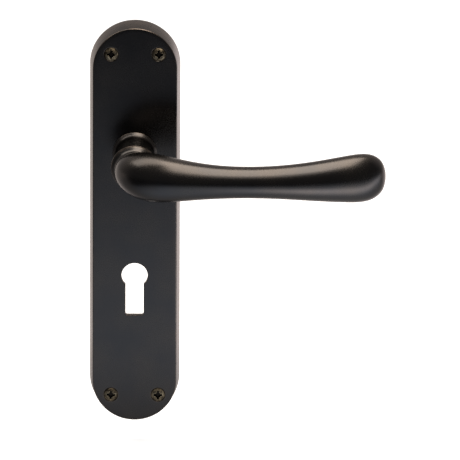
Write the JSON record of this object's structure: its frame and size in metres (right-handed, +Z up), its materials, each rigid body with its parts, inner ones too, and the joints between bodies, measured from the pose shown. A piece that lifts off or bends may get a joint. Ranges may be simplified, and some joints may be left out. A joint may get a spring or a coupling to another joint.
{
  "type": "lever handle lockset",
  "caption": "Sprung lever handle on a long round-ended backplate with a keyhole; pressing the lever down turns a square spindle and a spring brings it back.",
  "frame": {"origin": "where the spindle's axis meets the door's face", "axes": "+Z up along the plate, the lever points to +X, the front looks to -Y, the spindle runs into the door along +Y"},
  "size_m": [0.1307, 0.1265, 0.185],
  "materials": {
    "bronzed_metal": "satin dark bronze lacquer over zinc alloy",
    "antique_screw": "aged bronze plating",
    "zinc_plated_steel": "bright zinc plating",
    "spring_steel": "oiled spring steel",
    "black_steel": "black oxide",
    "nylon": "natural nylon"
  },
  "bodies": {
    "plate": {"backplate": "bronzed_metal", "neck_collar": "bronzed_metal", "neck_bush": "nylon", "thrust_ring": "nylon", "thrust_washer": "zinc_plated_steel", "return_spring": "spring_steel", "spring_housing": "zinc_plated_steel", "rest_stop": "zinc_plated_steel", "down_stop": "zinc_plated_steel", "housing_screw_upper": "zinc_plated_steel", "housing_screw_lower": "zinc_plated_steel", "fixing_screw_top_left": "antique_screw", "fixing_screw_top_right": "antique_screw", "fixing_screw_bottom_left": "antique_screw", "fixing_screw_bottom_right": "antique_screw"},
    "handle": {"lever": "bronzed_metal", "spindle": "zinc_plated_steel", "grub_screw": "black_steel", "disc_spring": "spring_steel", "drive_cam": "zinc_plated_steel", "retaining_clip": "spring_steel"}
  },
  "joints": [
    {"name": "lever_turn", "type": "hinge", "parent": "plate", "child": "handle", "pos_m": [0, 0, 0], "axis": [0, 1, 0], "range_deg": [0, 45], "stiffness_Nm_per_rad": 0.6, "springref_deg": -34.38, "deforming": ["return_spring"]}
  ]
}
